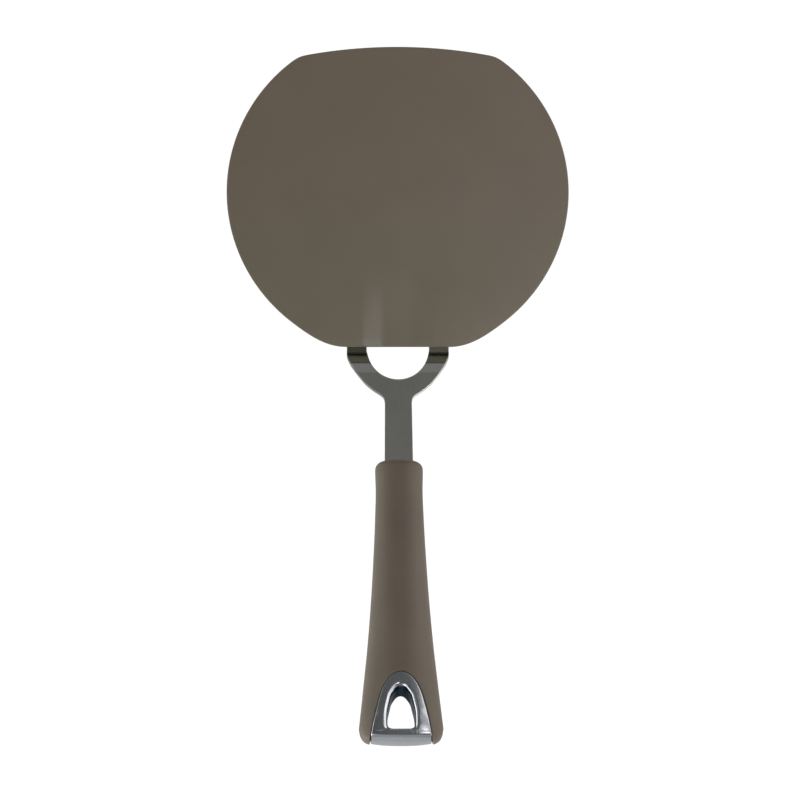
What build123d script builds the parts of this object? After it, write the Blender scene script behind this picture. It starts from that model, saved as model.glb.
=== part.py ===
from build123d import *
from math import sin, cos, tan, radians, sqrt
import os

os.makedirs("parts", exist_ok=True)

# ---------------------------------------------------------------------------
# Nylon turner: wide flexible blade, forked steel shank, soft handle with a
# metal hanging loop.  Millimetres, +Z up.  The blade lies flat on Z = 0 with
# its underside, +Y points to the blade's front edge, the handle rises to the
# rear.  The origin is the centre of the blade's underside.
# ---------------------------------------------------------------------------

# blade
BLADE_HALF_WIDTH = 82.1      # ellipse half axis across
BLADE_HALF_DEPTH = 79.7      # ellipse half axis along
FRONT_EDGE_Y = 69.7          # apex of the shallow front arc
FRONT_EDGE_R = 245.0         # radius of the front arc
FRONT_CORNER_R = 18.0
REAR_EDGE_Y = -74.4          # straight rear edge
REAR_EDGE_HALF = 24.4        # half length of the straight stretch
TIP_THICKNESS = 0.8
ROOT_THICKNESS = 4.4
TROUGH_DEPTH = 1.5           # shallow hollow between the two tabs
TROUGH_FLAT_HALF = 6.0
TROUGH_HALF = 18.0

# steel fork and shank
PLATE = 2.0                  # plate thickness
TAB_MID_Z = 2.2              # mid plane of the tabs inside the blade
TAB_INNER_X = 14.9
TAB_OUTER_X = 24.5
TAB_FRONT_Y = -56.0
TAB_HOLE_R = 2.2
BEND1_Y = -77.2              # where the flat tabs start to bend up
BEND1_R = 1.8                # tight first bend
STEEP = 52.0                 # steepest angle of the offset
STEEP_RUN_Y = 2.5
BEND2_R = 15.0               # wide reverse bend into the stem
BETA = 23.0                  # slope of shank and handle against the blade
RING_INNER_R = 14.9
RING_CENTRE_Y = -75.0
STEM_HALF = 6.5
STEM_HALF_AT_HANDLE = 6.8
TANG_HALF = 5.5
TANG_END_T = 98.0

# handle, stations measured along its own axis from the front face
HANDLE_FRONT_Y = -129.58
HANDLE_LEN = 139.2
GRIP_WALL = 2.6
CORE_FRONT_T = 3.0
CORE_END_T = 134.5
END_FACE_R = 220.0           # the end face is slightly crowned
END_EDGE_R = 2.0
FRONT_EDGE_R_GRIP = 4.0      # rounding of the grip's front rim
WING_CORNER = [              # t, half width of the wings' rounded ends
    (132.9, 19.54), (134.8, 19.2), (136.5, 18.6), (137.75, 17.8), (138.6, 16.9), (139.15, 15.8), (139.4, 14.2),
]
STATIONS = [                 # t, half width, half thickness, roundness (superellipse power)
    (-2.0, 11.40, 7.60, 2.3),
    (6.0, 11.30, 7.50, 2.3),
    (14.0, 11.10, 7.45, 2.3),
    (29.0, 11.50, 7.70, 2.3),
    (45.0, 12.20, 8.05, 2.3),
    (61.0, 13.07, 8.40, 2.3),
    (77.0, 14.15, 8.75, 2.3),
    (93.0, 15.45, 9.00, 2.3),
    (108.5, 17.00, 9.10, 2.5),
    (124.0, 18.60, 9.08, 2.85),  # from here the skin bends over towards the end
    (128.0, 19.03, 8.83, 3.0),
    (132.5, 19.50, 7.98, 3.1),
    (137.0, 19.88, 6.45, 3.1),
    (142.0, 20.30, 4.15, 3.1),
]

# metal hanging loop
LOOP_SIDE = [                # t, half width of the loop's A-shaped outline
    (108.94, 4.53),
    (111.9, 7.05),
    (116.57, 9.33),
    (122.35, 11.03),
    (129.5, 12.75),
    (137.9, 14.45),
    (145.0, 15.80),
]
LOOP_APEX_T = 107.0
HOLE_SIDE = [                # t, half width of the hanging hole
    (117.5, 3.90),
    (121.9, 5.25),
    (126.3, 6.15),
    (130.3, 6.35),
]
HOLE_APEX_T = 114.0
HOLE_END_T = 133.9
HOLE_RIM_R = 1.8             # rounding of both rims of the hole
SPIGOT_FRONT_T = 80.0
SPIGOT_HALF_THICK = 3.5
RIVET_R = 1.5
RIVET_T = (85.0, 92.5)

c, s = cos(radians(BETA)), sin(radians(BETA))

# ---------------------------------------------------------------------------
# side profile of the steel, as a centre line in (Y, Z)
# ---------------------------------------------------------------------------
sd, cd = sin(radians(STEEP)), cos(radians(STEEP))
p1 = (BEND1_Y, TAB_MID_Z)
c1 = (BEND1_Y, TAB_MID_Z + BEND1_R)
p2 = (c1[0] - BEND1_R * sd, c1[1] - BEND1_R * cd)
p3 = (p2[0] - STEEP_RUN_Y, p2[1] + STEEP_RUN_Y * sd / cd)
c2 = (p3[0] - BEND2_R * sd, p3[1] - BEND2_R * cd)
p4 = (c2[0] + BEND2_R * s, c2[1] + BEND2_R * c)
H0 = (HANDLE_FRONT_Y, p4[1] + (p4[0] - HANDLE_FRONT_Y) * s / c)
print("handle front centre (y, z):", H0)


def along(t, n=0.0):
    """Point (y, z) at station t along the handle, n above its axis."""
    return (H0[0] - t * c + n * s, H0[1] + t * s + n * c)


def off(p, a, d):
    """Point p of the centre line moved d along its upward normal; the line
    rises to the rear with the slope a (degrees)."""
    return (p[0] + d * sin(radians(a)), p[1] + d * cos(radians(a)))


h = PLATE / 2
tang_end = along(TANG_END_T)
mid1 = (c1[0] - BEND1_R * sin(radians(STEEP / 2)), c1[1] - BEND1_R * cos(radians(STEEP / 2)))
am = (STEEP + BETA) / 2
mid2 = (c2[0] + BEND2_R * sin(radians(am)), c2[1] + BEND2_R * cos(radians(am)))

section_plane = Plane(origin=(0, H0[0], H0[1]), x_dir=(1, 0, 0), z_dir=(0, -c, s))
plan_plane = Plane(origin=(0, H0[0], H0[1]), x_dir=(1, 0, 0), z_dir=(0, s, c))  # local y = -t
side_plane = Plane.YZ

# ---------------------------------------------------------------------------
# fork_shank: one stamped and bent plate, two tabs, half ring, stem and tang
# ---------------------------------------------------------------------------
with BuildPart() as fork_shank:
    with BuildSketch(side_plane) as ribbon:
        with BuildLine():
            u0 = off((TAB_FRONT_Y, TAB_MID_Z), 0, h)
            u1, um1, u2 = off(p1, 0, h), off(mid1, STEEP / 2, h), off(p2, STEEP, h)
            u3, um2, u4 = off(p3, STEEP, h), off(mid2, am, h), off(p4, BETA, h)
            u5 = off(tang_end, BETA, h)
            d0 = off((TAB_FRONT_Y, TAB_MID_Z), 0, -h)
            d1, dm1, d2 = off(p1, 0, -h), off(mid1, STEEP / 2, -h), off(p2, STEEP, -h)
            d3, dm2, d4 = off(p3, STEEP, -h), off(mid2, am, -h), off(p4, BETA, -h)
            d5 = off(tang_end, BETA, -h)
            Line(u0, u1)
            ThreePointArc(u1, um1, u2)
            Line(u2, u3)
            ThreePointArc(u3, um2, u4)
            Line(u4, u5)
            Line(u5, d5)
            Line(d5, d4)
            ThreePointArc(d4, dm2, d3)
            Line(d3, d2)
            ThreePointArc(d2, dm1, d1)
            Line(d1, d0)
            Line(d0, u0)
        make_face()
    extrude(amount=30, both=True)
    # plan outline, cut straight down
    with BuildSketch(Plane.XY.offset(-5)) as plan:
        with BuildLine():
            y_h = along(0)[0]
            y_t = along(60)[0]
            y_e = along(TANG_END_T)[0] - 3
            r0 = (TAB_OUTER_X, TAB_FRONT_Y)
            r1 = (TAB_OUTER_X, BEND1_Y)
            Line((TAB_INNER_X, TAB_FRONT_Y), r0)
            Line(r0, r1)
            Spline(r1, (22.95, -82.5), (20.6, -86.5), (17.0, -91.05), (12.4, -95.35), (8.3, -98.2),
                   tangents=[(0, -1), (-0.86, -0.51)])
            FilletPolyline((8.3, -98.2), (6.15, -99.47), (STEM_HALF, -103.5), (STEM_HALF_AT_HANDLE, y_h), radius=2.4)
            Line((STEM_HALF_AT_HANDLE, y_h), (TANG_HALF, y_t))
            Line((TANG_HALF, y_t), (TANG_HALF, y_e))
            Line((TANG_HALF, y_e), (0, y_e))
            Line((0, y_e), (0, RING_CENTRE_Y - RING_INNER_R))
            ThreePointArc((0, RING_CENTRE_Y - RING_INNER_R),
                          (RING_INNER_R * cos(radians(45)), RING_CENTRE_Y - RING_INNER_R * sin(radians(45))),
                          (RING_INNER_R, RING_CENTRE_Y))
            Line((RING_INNER_R, RING_CENTRE_Y), (TAB_INNER_X, TAB_FRONT_Y))
        make_face()
        mirror(about=Plane.YZ)
    extrude(amount=120, mode=Mode.INTERSECT)
    # rounded tab ends and the holes the nylon flows through
    with BuildSketch(Plane.XY) as tab_holes:
        with Locations((19.7, -62.5), (-19.7, -62.5)):
            Circle(TAB_HOLE_R)
    extrude(amount=6, mode=Mode.SUBTRACT)
    tips = fork_shank.edges().filter_by(Axis.Z).filter_by_position(Axis.Y, TAB_FRONT_Y - 0.1, TAB_FRONT_Y + 0.1)
    fillet(tips, radius=3.0)
    # rivet holes through the tang
    with BuildSketch(plan_plane.offset(-3)) as tang_holes:
        with Locations(*[(0, -t) for t in RIVET_T]):
            Circle(RIVET_R)
    extrude(amount=6, mode=Mode.SUBTRACT)

# ---------------------------------------------------------------------------
# blade: one nylon moulding, thick over the tabs and thin at the front edge,
# with a shallow hollow between the tabs that runs out forwards
# ---------------------------------------------------------------------------
BLADE_SECTIONS = [           # y, thickness on the tabs, thickness at the sides, hollow depth
    (-80.0, ROOT_THICKNESS + 0.05, 2.5, TROUGH_DEPTH),
    (-66.0, 4.25, 2.35, TROUGH_DEPTH * 0.95),
    (-52.0, 3.75, 2.2, TROUGH_DEPTH * 0.65),
    (-38.0, 2.95, 2.0, TROUGH_DEPTH * 0.22),
    (-22.0, 2.25, 1.85, 0.0),
    (0.0, 1.80, 1.65, 0.0),
    (30.0, 1.40, 1.35, 0.0),
    (56.0, 1.02, 1.0, 0.0),
    (76.0, TIP_THICKNESS - 0.08, TIP_THICKNESS - 0.08, 0.0),
]


def top_points(thick, side, hollow):
    """Heights of the upper face across one section, left to right."""
    xs = [-90, -62, -40, -27, -TROUGH_HALF, -12.0, -TROUGH_FLAT_HALF, 0,
          TROUGH_FLAT_HALF, 12.0, TROUGH_HALF, 27, 40, 62, 90]
    out = []
    for x in xs:
        a = abs(x)
        k = 1.0 if a <= 24 else max(0.0, 1 - (a - 24) / 56.0)
        k = k * k * (3 - 2 * k)
        z = side + (thick - side) * k
        if a < TROUGH_HALF:
            q = min(1.0, (TROUGH_HALF - a) / (TROUGH_HALF - TROUGH_FLAT_HALF))
            z -= hollow * q * q * (3 - 2 * q)
        out.append((x, z))
    return out


with BuildPart() as blade:
    for (y, thick, side, hollow) in BLADE_SECTIONS:
        pl = Plane(origin=(0, y, 0), x_dir=(1, 0, 0), z_dir=(0, -1, 0))
        pts = top_points(thick, side, hollow)
        with BuildSketch(pl) as blade_section:
            with BuildLine():
                Spline(*pts)
                Line(pts[-1], (90, -3))
                Line((90, -3), (-90, -3))
                Line((-90, -3), pts[0])
            make_face()
    loft()
    th = 0.9                 # ellipse parameter where the rear corners leave the ellipse
    e0 = (BLADE_HALF_WIDTH * cos(th), -BLADE_HALF_DEPTH * sin(th))
    tl = sqrt((BLADE_HALF_WIDTH * sin(th)) ** 2 + (BLADE_HALF_DEPTH * cos(th)) ** 2)
    e1 = (e0[0] - 12.93 * BLADE_HALF_WIDTH * sin(th) / tl, e0[1] - 12.93 * BLADE_HALF_DEPTH * cos(th) / tl)
    e2 = (REAR_EDGE_HALF + 9.27, REAR_EDGE_Y)
    e3 = (REAR_EDGE_HALF, REAR_EDGE_Y)
    # the outline, cut from Z = 0 up, leaves a plane underside
    with BuildSketch(Plane.XY) as outline:
        with BuildLine():
            # the ellipse from the rear corner to above the front arc
            a_lo = -th * 180 / 3.141592653589793
            arc = EllipticalCenterArc((0, 0), BLADE_HALF_WIDTH, BLADE_HALF_DEPTH,
                                      start_angle=a_lo, arc_size=75 - a_lo)
            Bezier(arc @ 0, e1, e2, e3)
            Line(e3, (0, REAR_EDGE_Y))
            Line((0, REAR_EDGE_Y), (0, 90))
            Line((0, 90), ((arc @ 1).X, 90))
            Line(((arc @ 1).X, 90), arc @ 1)
        make_face()
        with Locations((0, FRONT_EDGE_Y - FRONT_EDGE_R)):
            Circle(FRONT_EDGE_R, mode=Mode.INTERSECT)
        corner = outline.vertices().filter_by_position(Axis.X, 40, 60).filter_by_position(Axis.Y, 60, 70)
        fillet(corner, radius=FRONT_CORNER_R)
        mirror(about=Plane.YZ)
    extrude(amount=12, mode=Mode.INTERSECT)
    add(fork_shank.part, mode=Mode.SUBTRACT)

# ---------------------------------------------------------------------------
# handle body: the outer skin of grip and loop, and the same shape drawn in by
# the grip's wall for the hard core
# ---------------------------------------------------------------------------


def oval(a, b, power, n=24):
    """Points of the rounded section with half width a and half height b."""
    pts = []
    for i in range(n):
        w = 2 * 3.141592653589793 * (i + 0.5) / n
        cw, sw = cos(w), sin(w)
        e = 2.0 / power
        pts.append((a * abs(cw) ** e * (1 if cw > 0 else -1), b * abs(sw) ** e * (1 if sw > 0 else -1)))
    return pts


handle_axis = Axis((0, H0[0], H0[1]), (0, -c, s))

with BuildPart() as skin:
    for (t, a, b, power) in STATIONS:
        with BuildSketch(section_plane.offset(t)) as skin_section:
            with BuildLine():
                Spline(*oval(a, b, power), periodic=True)
            make_face()
    loft()

with BuildPart() as core_shape:
    core_stations = [(CORE_FRONT_T, 11.30, 7.50, 2.3)] + STATIONS[1:10] + [(CORE_END_T, 19.6, 7.05, 3.1)]
    for (t, a, b, power) in core_stations:
        with BuildSketch(section_plane.offset(t)) as core_section:
            with BuildLine():
                Spline(*oval(a - GRIP_WALL, b - GRIP_WALL, power), periodic=True)
            make_face()
    loft()

# the A-shaped zone of the metal loop, cut square to the handle
with BuildPart() as loop_zone:
    with BuildSketch(plan_plane.offset(-20)) as loop_outline:
        with BuildLine():
            side = [(0, -LOOP_APEX_T)] + [(x, -t) for (t, x) in LOOP_SIDE]
            Spline(*side, tangents=[(1, 0), (0.2, -1)])
            Line(side[-1], (0, side[-1][1]))
            Line((0, side[-1][1]), side[0])
        make_face()
        mirror(about=Plane.YZ)
    extrude(amount=40)

# ---------------------------------------------------------------------------
# tang_rivets: two short rivets that hold the loop's tongue to the tang
# ---------------------------------------------------------------------------
with BuildPart() as tang_rivets:
    with BuildSketch(plan_plane.offset(-SPIGOT_HALF_THICK)) as rivet_rounds:
        with Locations(*[(0, -t) for t in RIVET_T]):
            Circle(RIVET_R)
    extrude(amount=2 * SPIGOT_HALF_THICK)

# ---------------------------------------------------------------------------
# end_cap: cast metal loop through the full thickness of the handle's end, with
# the hanging hole and a slotted tongue that takes the end of the tang
# ---------------------------------------------------------------------------


def end_arc_y(length, x):
    """Local y of the crowned end at the half width x."""
    return -length + END_FACE_R - sqrt(END_FACE_R ** 2 - x ** 2)


with BuildPart() as end_cap:
    add(skin.part)
    with BuildSketch(plan_plane.offset(-20)) as cap_end:
        with BuildLine():
            Line((0, -90), (24, -90))
            Line((24, -90), (24, end_arc_y(HANDLE_LEN, 24)))
            ThreePointArc((24, end_arc_y(HANDLE_LEN, 24)), (12, end_arc_y(HANDLE_LEN, 12)), (0, -HANDLE_LEN))
            Line((0, -HANDLE_LEN), (0, -90))
        make_face()
        mirror(about=Plane.YZ)
    extrude(amount=40, mode=Mode.INTERSECT)
    fillet(end_cap.faces().sort_by(handle_axis)[-1].edges(), radius=END_EDGE_R)
    add(loop_zone.part, mode=Mode.INTERSECT)
    with BuildSketch(plan_plane.offset(-20)) as hole_outline:
        with BuildLine():
            rim = [(0, -HOLE_APEX_T)] + [(x, -t) for (t, x) in HOLE_SIDE]
            Spline(*rim, tangents=[(1, 0), (0.0, -1)])
            Line(rim[-1], (HOLE_SIDE[-1][1], -HOLE_END_T))
            Line((HOLE_SIDE[-1][1], -HOLE_END_T), (0, -HOLE_END_T))
            Line((0, -HOLE_END_T), rim[0])
        make_face()
        fillet(hole_outline.vertices().filter_by_position(Axis.X, 5, 7).sort_by(Axis.Y)[0], radius=3.0)
        mirror(about=Plane.YZ)
    extrude(amount=40, mode=Mode.SUBTRACT)
    up = Vector(0, s, c)
    rim_edges = end_cap.edges(Select.LAST).filter_by(lambda e: abs((e % 0.5).dot(up)) < 0.7)
    fillet(rim_edges, radius=HOLE_RIM_R)
    # tongue, slotted for the tang
    with BuildSketch(plan_plane.offset(-SPIGOT_HALF_THICK)) as tongue:
        with Locations((0, -(SPIGOT_FRONT_T + 110.0) / 2)):
            Rectangle(2 * TANG_HALF, 110.0 - SPIGOT_FRONT_T)
    extrude(amount=2 * SPIGOT_HALF_THICK)
    add(fork_shank.part, mode=Mode.SUBTRACT)
    add(tang_rivets.part, mode=Mode.SUBTRACT)

# the loop is one casting; hair-thin crumbs left along its end rounding go
with BuildPart() as loop_casting:
    add(end_cap.part.solids().sort_by(SortBy.VOLUME)[-1])

# ---------------------------------------------------------------------------
# handle_core: hard plastic moulded round the tang and the loop's tongue
# ---------------------------------------------------------------------------
with BuildPart() as handle_core:
    add(core_shape.part)
    add(loop_zone.part, mode=Mode.SUBTRACT)
    with BuildSketch(plan_plane.offset(-SPIGOT_HALF_THICK)) as tongue_pocket:
        with Locations((0, -(SPIGOT_FRONT_T + 110.0) / 2)):
            Rectangle(2 * TANG_HALF, 110.0 - SPIGOT_FRONT_T)
    extrude(amount=2 * SPIGOT_HALF_THICK, mode=Mode.SUBTRACT)
    add(fork_shank.part, mode=Mode.SUBTRACT)

# ---------------------------------------------------------------------------
# soft_grip: elastomer skin over the core, two wings beside the metal loop
# ---------------------------------------------------------------------------
with BuildPart() as soft_grip:
    add(skin.part)
    with BuildSketch(plan_plane.offset(-20)) as wing_plan:
        with BuildLine():
            wing = [(x, -t) for (t, x) in WING_CORNER]
            Line((0, 0), (24, 0))
            Line((24, 0), (24, wing[0][1]))
            Line((24, wing[0][1]), wing[0])
            Spline(*wing)
            Line(wing[-1], (0, wing[-1][1]))
            Line((0, wing[-1][1]), (0, 0))
        make_face()
        mirror(about=Plane.YZ)
    extrude(amount=40, mode=Mode.INTERSECT)
    fillet(soft_grip.faces().sort_by(handle_axis)[0].edges(), radius=FRONT_EDGE_R_GRIP)
    add(core_shape.part, mode=Mode.SUBTRACT)
    add(loop_zone.part, mode=Mode.SUBTRACT)
    add(fork_shank.part, mode=Mode.SUBTRACT)

# ---------------------------------------------------------------------------
for name, piece in (
    ("blade", blade),
    ("fork_shank", fork_shank),
    ("tang_rivets", tang_rivets),
    ("end_cap", loop_casting),
    ("handle_core", handle_core),
    ("soft_grip", soft_grip),
):
    piece.part.label = name
    export_step(piece.part, f"parts/{name}.step")
    bb = piece.part.bounding_box()
    print(name, len(piece.part.solids()), round(piece.part.volume, 1), piece.part.is_valid,
          [round(v, 2) for v in (bb.min.X, bb.min.Y, bb.min.Z, bb.max.X, bb.max.Y, bb.max.Z)])
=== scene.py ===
import math

import bpy
import bmesh
import numpy as np
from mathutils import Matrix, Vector


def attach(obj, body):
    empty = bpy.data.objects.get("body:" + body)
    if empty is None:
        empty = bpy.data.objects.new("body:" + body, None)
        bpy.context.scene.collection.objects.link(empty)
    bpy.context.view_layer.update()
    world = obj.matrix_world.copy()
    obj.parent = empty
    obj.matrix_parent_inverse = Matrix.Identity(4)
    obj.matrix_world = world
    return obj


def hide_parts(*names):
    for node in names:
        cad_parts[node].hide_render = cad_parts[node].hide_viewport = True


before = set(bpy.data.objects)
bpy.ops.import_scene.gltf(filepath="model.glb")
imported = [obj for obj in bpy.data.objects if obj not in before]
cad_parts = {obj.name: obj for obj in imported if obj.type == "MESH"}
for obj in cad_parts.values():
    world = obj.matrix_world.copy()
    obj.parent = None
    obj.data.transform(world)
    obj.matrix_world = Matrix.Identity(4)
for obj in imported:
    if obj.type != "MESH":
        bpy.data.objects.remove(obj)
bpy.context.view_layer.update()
scene = bpy.context.scene

# ---------------------------------------------------------------------------
# sizes, in millimetres, the same as the CAD model's
# ---------------------------------------------------------------------------
BETA = math.radians(23.0)
CB, SB = math.cos(BETA), math.sin(BETA)

BLADE_A, BLADE_B = 82.08, 79.68
FRONT_Y, FRONT_R = 69.68, 245.0
REAR_Y, REAR_HALF = -74.38, 24.4
TROUGH_FLAT, TROUGH_HALF = 6.0, 18.0

PLATE_H = 1.0
TAB_Z = 2.2
BEND1_Y, BEND1_R = -77.2, 1.8
STEEP = math.radians(52.0)
STEEP_RUN = 2.5
BEND2_R = 15.0
RING_R, RING_Y = 14.9, -75.0

HANDLE_Y = -129.58
# t along the handle, half width, half thickness, superellipse power
STATIONS = [(-2.0, 11.40, 7.60, 2.3), (6.0, 11.30, 7.50, 2.3), (14.0, 11.10, 7.45, 2.3), (29.0, 11.50, 7.70, 2.3),
            (45.0, 12.20, 8.05, 2.3), (61.0, 13.07, 8.40, 2.3), (77.0, 14.15, 8.75, 2.3), (93.0, 15.45, 9.00, 2.3),
            (108.5, 17.00, 9.10, 2.5), (124.0, 18.60, 9.10, 2.85), (128.0, 19.03, 9.08, 3.0),
            (132.5, 19.50, 9.05, 3.1), (137.0, 19.88, 9.03, 3.1), (142.0, 20.30, 9.00, 3.1)]
BEND_T, BEND_RUN, BEND_SLOPE = 122.3, 13.0, 0.33     # where the skin bends over towards the end
HANDLE_LEN = 137.65
END_R = 220.0
EDGE_ROUND = 2.0
LOOP_APEX = 107.0
LOOP_SIDE = [(108.94, 4.53), (111.9, 7.05), (116.57, 9.33), (122.35, 11.03), (129.5, 12.75), (137.9, 14.45), (145.0, 15.80)]
HOLE_APEX, HOLE_END = 114.0, 134.15
HOLE_SIDE = [(117.5, 3.90), (121.9, 5.25), (126.3, 6.15), (130.3, 6.35)]


# ---------------------------------------------------------------------------
# small numeric helpers
# ---------------------------------------------------------------------------
def pchip(xs, ys):
    """Monotone cubic through points, as a function of an array."""
    xs, ys = np.asarray(xs, float), np.asarray(ys, float)
    h = np.diff(xs)
    d = np.diff(ys) / h
    m = np.zeros_like(xs)
    for i in range(1, len(xs) - 1):
        if d[i - 1] * d[i] > 0:
            w1, w2 = 2 * h[i] + h[i - 1], h[i] + 2 * h[i - 1]
            m[i] = (w1 + w2) / (w1 / d[i - 1] + w2 / d[i])
    m[0], m[-1] = d[0], d[-1]

    def f(x):
        x = np.clip(np.asarray(x, float), xs[0], xs[-1])
        i = np.clip(np.searchsorted(xs, x) - 1, 0, len(xs) - 2)
        t = (x - xs[i]) / h[i]
        return ((1 + 2 * t) * (1 - t) ** 2 * ys[i] + t * (1 - t) ** 2 * h[i] * m[i]
                + t * t * (3 - 2 * t) * ys[i + 1] + t * t * (t - 1) * h[i] * m[i + 1])
    return f


def resample(pts, n):
    """n points at even distances along an open line."""
    pts = np.asarray(pts, float)
    s = np.concatenate([[0], np.cumsum(np.linalg.norm(np.diff(pts, axis=0), axis=1))])
    t = np.linspace(0, s[-1], n)
    return np.stack([np.interp(t, s, pts[:, k]) for k in range(pts.shape[1])], axis=1)


def spline(pts, n, t0=None, t1=None):
    """Catmull-Rom style curve through points, with optional end directions."""
    pts = np.asarray(pts, float)
    s = np.concatenate([[0], np.cumsum(np.linalg.norm(np.diff(pts, axis=0), axis=1))])
    m = np.zeros_like(pts)
    for i in range(1, len(pts) - 1):
        a, b = s[i] - s[i - 1], s[i + 1] - s[i]
        m[i] = ((pts[i] - pts[i - 1]) / a * b + (pts[i + 1] - pts[i]) / b * a) / (a + b)
    m[0] = np.asarray(t0, float) if t0 is not None else (pts[1] - pts[0]) / (s[1] - s[0])
    m[-1] = np.asarray(t1, float) if t1 is not None else (pts[-1] - pts[-2]) / (s[-1] - s[-2])
    out = []
    for u in np.linspace(0, s[-1], n):
        i = min(max(np.searchsorted(s, u) - 1, 0), len(s) - 2)
        h = s[i + 1] - s[i]
        t = (u - s[i]) / h
        out.append((1 + 2 * t) * (1 - t) ** 2 * pts[i] + t * (1 - t) ** 2 * h * m[i]
                   + t * t * (3 - 2 * t) * pts[i + 1] + t * t * (t - 1) * h * m[i + 1])
    return np.array(out)


def smooth_step(x):
    x = np.clip(x, 0, 1)
    return x * x * (3 - 2 * x)


def grid_faces(nu, nv, wrap_u=False, wrap_v=False, base=0):
    """Quads of a grid of nu rows and nv columns."""
    out = []
    for i in range(nu if wrap_u else nu - 1):
        for j in range(nv if wrap_v else nv - 1):
            i2, j2 = (i + 1) % nu, (j + 1) % nv
            out.append((base + i * nv + j, base + i2 * nv + j, base + i2 * nv + j2, base + i * nv + j2))
    return out


def make_object(name, chunks, material, merge=2e-6, close=False, sharp=None):
    """One closed mesh from chunks of (vertices in mm, faces)."""
    bm = bmesh.new()
    for verts, faces in chunks:
        vs = [bm.verts.new((float(v[0]) / 1000, float(v[1]) / 1000, float(v[2]) / 1000)) for v in verts]
        for f in faces:
            ids = []
            for k in f:
                if k not in ids:
                    ids.append(k)
            if len(ids) >= 3:
                try:
                    bm.faces.new([vs[k] for k in ids])
                except ValueError:
                    pass
    bmesh.ops.remove_doubles(bm, verts=bm.verts, dist=merge)
    bmesh.ops.dissolve_degenerate(bm, edges=bm.edges, dist=merge * 0.5)
    if close:
        edges = [e for e in bm.edges if e.is_boundary]
        if edges:
            bmesh.ops.holes_fill(bm, edges=edges, sides=0)
    bmesh.ops.recalc_face_normals(bm, faces=bm.faces)
    loose = [v for v in bm.verts if not v.link_faces]
    if loose:
        bmesh.ops.delete(bm, geom=loose, context="VERTS")
    me = bpy.data.meshes.new(name)
    bm.to_mesh(me)
    bm.free()
    for p in me.polygons:
        p.use_smooth = True
    ob = bpy.data.objects.new(name, me)
    scene.collection.objects.link(ob)
    me.materials.append(material)
    return ob


# ---------------------------------------------------------------------------
# materials
# ---------------------------------------------------------------------------
def new_material(name):
    m = bpy.data.materials.new(name)
    m.use_nodes = True
    nt = m.node_tree
    nt.nodes.clear()
    out = nt.nodes.new("ShaderNodeOutputMaterial")
    bsdf = nt.nodes.new("ShaderNodeBsdfPrincipled")
    nt.links.new(bsdf.outputs["BSDF"], out.inputs["Surface"])
    return m, nt, bsdf


def coords(nt, scale=(1, 1, 1), rot=(0, 0, 0)):
    tc = nt.nodes.new("ShaderNodeTexCoord")
    mp = nt.nodes.new("ShaderNodeMapping")
    mp.inputs["Scale"].default_value = scale
    mp.inputs["Rotation"].default_value = rot
    nt.links.new(tc.outputs["Object"], mp.inputs["Vector"])
    return mp.outputs["Vector"]


def noise(nt, vec, scale, detail=2.0, rough=0.5):
    n = nt.nodes.new("ShaderNodeTexNoise")
    n.inputs["Scale"].default_value = scale
    n.inputs["Detail"].default_value = detail
    n.inputs["Roughness"].default_value = rough
    nt.links.new(vec, n.inputs["Vector"])
    return n.outputs["Fac"]


def ramp(nt, fac, stops):
    r = nt.nodes.new("ShaderNodeValToRGB")
    el = r.color_ramp.elements
    while len(el) > 1:
        el.remove(el[-1])
    el[0].position, el[0].color = stops[0][0], (*stops[0][1], 1)
    for p, c in stops[1:]:
        e = el.new(p)
        e.color = (*c, 1)
    nt.links.new(fac, r.inputs["Fac"])
    return r.outputs["Color"]


def map_range(nt, fac, lo, hi, a=0.0, b=1.0):
    m = nt.nodes.new("ShaderNodeMapRange")
    m.inputs["From Min"].default_value = lo
    m.inputs["From Max"].default_value = hi
    m.inputs["To Min"].default_value = a
    m.inputs["To Max"].default_value = b
    nt.links.new(fac, m.inputs["Value"])
    return m.outputs["Result"]


def bump(nt, height, strength, distance, normal=None):
    b = nt.nodes.new("ShaderNodeBump")
    b.inputs["Strength"].default_value = strength
    b.inputs["Distance"].default_value = distance
    nt.links.new(height, b.inputs["Height"])
    if normal is not None:
        nt.links.new(normal, b.inputs["Normal"])
    return b.outputs["Normal"]


def product(nt, a, b):
    m = nt.nodes.new("ShaderNodeMix")
    m.data_type = "RGBA"
    m.blend_type = "MULTIPLY"
    m.clamp_result = False
    m.inputs["Factor"].default_value = 1.0
    nt.links.new(a, m.inputs[6])
    nt.links.new(b, m.inputs[7])
    return m.outputs[2]


def scaled(c, k):
    return tuple(max(0.0, v * k) for v in c)


def nylon_material():
    m, nt, b = new_material("satin_nylon")
    base = (0.1145, 0.0914, 0.0688)
    v = coords(nt)
    cloud = noise(nt, v, 38.0, 3.0, 0.55)
    col = ramp(nt, cloud, [(0.30, scaled(base, 0.965)), (0.70, scaled(base, 1.035))])
    # painted light: the base colour is made a shade lighter and more olive towards the rear and right, for the light
    # that falls there
    sep = nt.nodes.new("ShaderNodeSeparateXYZ")
    nt.links.new(v, sep.inputs["Vector"])
    rear = ramp(nt, map_range(nt, sep.outputs["Y"], 0.04, -0.075), [(0.0, (1.0, 1.0, 1.0)), (1.0, (1.055, 1.155, 1.125))])
    side = ramp(nt, map_range(nt, sep.outputs["X"], -0.08, 0.08), [(0.0, (1.0, 1.0, 1.0)), (1.0, (1.09, 1.095, 1.115))])
    nt.links.new(product(nt, product(nt, col, rear), side), b.inputs["Base Color"])
    r = noise(nt, v, 420.0, 2.0, 0.6)
    nt.links.new(map_range(nt, r, 0.3, 0.7, 0.28, 0.33), b.inputs["Roughness"])
    fine = noise(nt, v, 2600.0, 2.0, 0.55)
    nt.links.new(bump(nt, fine, 0.10, 0.00006), b.inputs["Normal"])
    b.inputs["IOR"].default_value = 1.50
    return m


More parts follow.
